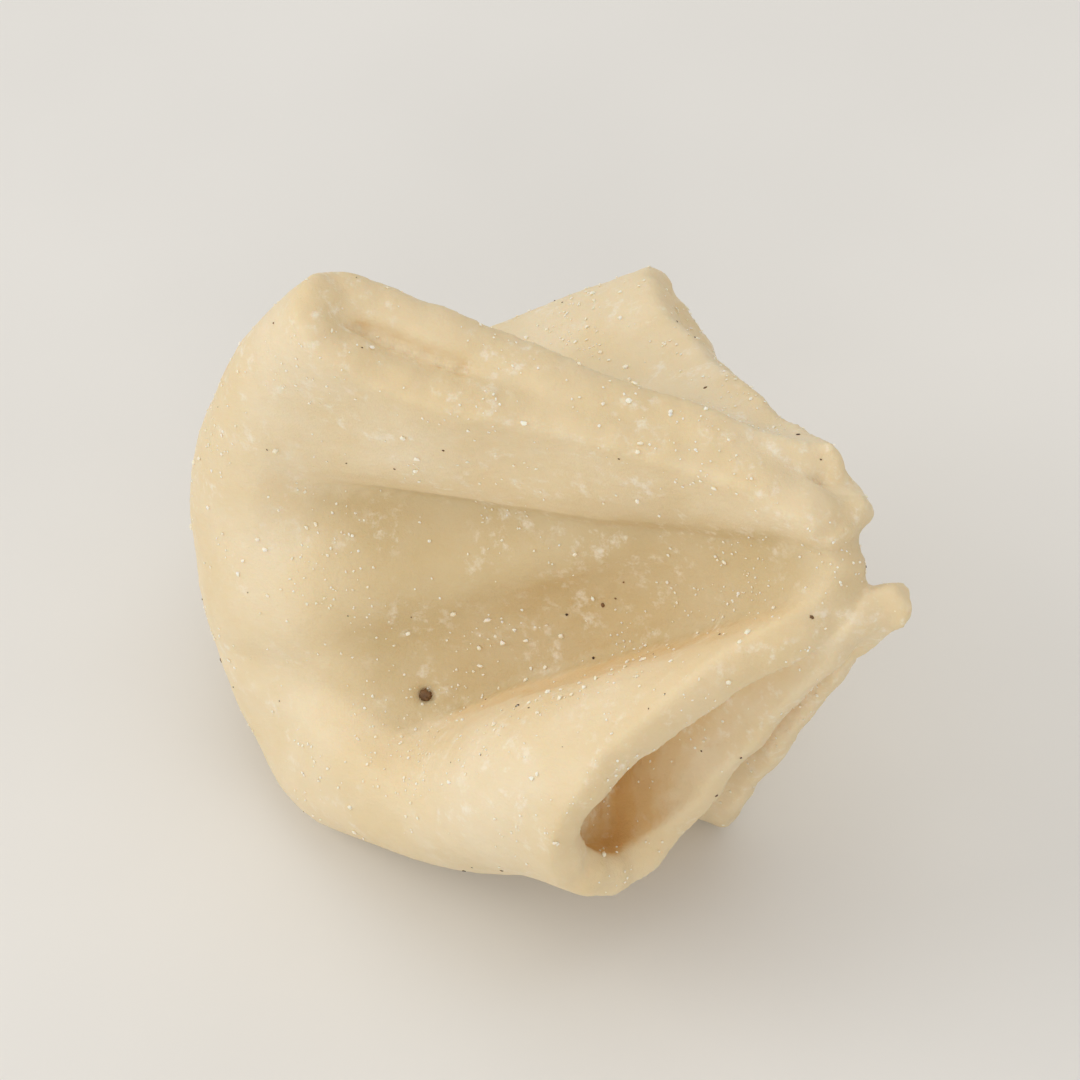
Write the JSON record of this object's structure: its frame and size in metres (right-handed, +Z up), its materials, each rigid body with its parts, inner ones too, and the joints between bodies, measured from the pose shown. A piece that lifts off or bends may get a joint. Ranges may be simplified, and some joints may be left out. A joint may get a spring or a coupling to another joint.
{
  "type": "folded manti dumpling",
  "caption": "Small dumpling folded from a square of thin dough, its corners pinched together over the filling and its sides standing out as ears.",
  "frame": {"origin": "on the surface it rests on, under the middle of the piece's bounding box", "axes": "+Z up; -Y towards the viewer of the picture; +X along the piece's longest extent, from the filled belly to the pinched corners"},
  "size_m": [0.0216, 0.0208, 0.0204],
  "materials": {
    "dough": "matte, floury, cream coloured"
  },
  "bodies": {
    "root": {"manti": "dough"}
  },
  "joints": []
}
